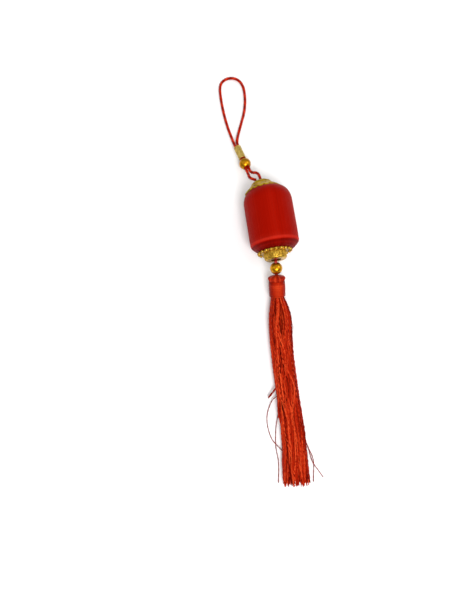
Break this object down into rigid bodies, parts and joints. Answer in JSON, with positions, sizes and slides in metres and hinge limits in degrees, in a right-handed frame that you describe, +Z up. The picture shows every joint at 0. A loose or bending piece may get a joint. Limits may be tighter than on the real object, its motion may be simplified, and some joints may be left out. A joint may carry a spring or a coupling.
{
  "type": "hanging lantern charm",
  "caption": "Small red lantern charm: a thread-wound barrel with gilt caps, a beaded hanging loop that swings and a long thread tassel.",
  "frame": {"origin": "on the floor under the middle of the lantern and its tassel, measured without the hanging cord and what slides on it", "axes": "+Y along the lantern's axis towards the hanging loop, +Z up from the floor, +X to the right seen from the tassel's end"},
  "size_m": [0.0355, 0.2847, 0.032],
  "materials": {
    "winding_thread": "satin",
    "barrel_plastic": "matte",
    "gilt": "polished",
    "satin_gilt": "satin",
    "pale_gilt": "embossed",
    "red_cord": "twisted",
    "tassel_thread": "satin"
  },
  "bodies": {
    "lantern": {"barrel_wall": "barrel_plastic", "bore_tube": "barrel_plastic", "top_end_plate": "barrel_plastic", "bottom_end_plate": "barrel_plastic", "satin_winding": "winding_thread", "thread_return": "winding_thread", "top_flange": "gilt", "top_dome": "gilt", "bottom_flange": "gilt", "bottom_collar": "gilt", "cord_tails": "red_cord", "cord_knot": "red_cord"},
    "hanging_loop": {"hanging_cord": "red_cord"},
    "loop_bead": {"cord_bead": "satin_gilt"},
    "loop_sleeve": {"cord_sleeve": "pale_gilt"},
    "tassel_link": {"tassel_cord": "red_cord", "tassel_bead": "satin_gilt"},
    "tassel": {"tassel_head": "tassel_thread", "head_knot": "tassel_thread", "neck_threads": "tassel_thread", "tassel_binding": "tassel_thread", "tassel_skirt": "tassel_thread"}
  },
  "joints": [
    {"name": "loop_swing", "type": "hinge", "parent": "lantern", "child": "hanging_loop", "pos_m": [0.00115, 0.10026, 0.016], "axis": [1, 0, 0], "range_deg": [-40, 110]},
    {"name": "bead_slide", "type": "slide", "parent": "hanging_loop", "child": "loop_bead", "axis": [0.217, -0.9562, 0.1967], "range_m": [0, 0.002]},
    {"name": "sleeve_slide", "type": "slide", "parent": "hanging_loop", "child": "loop_sleeve", "axis": [-0.217, 0.9562, -0.1967], "range_m": [0, 0.002]},
    {"name": "tassel_swing", "type": "hinge", "parent": "lantern", "child": "tassel_link", "pos_m": [-0.00015, 0.04357, 0.016], "axis": [1, 0, 0], "range_deg": [-67, 16]},
    {"name": "tassel_side_swing", "type": "hinge", "parent": "tassel_link", "child": "tassel", "pos_m": [-0.00043, 0.03953, 0.01404], "axis": [0, 0, 1], "range_deg": [-40, 40]}
  ]
}
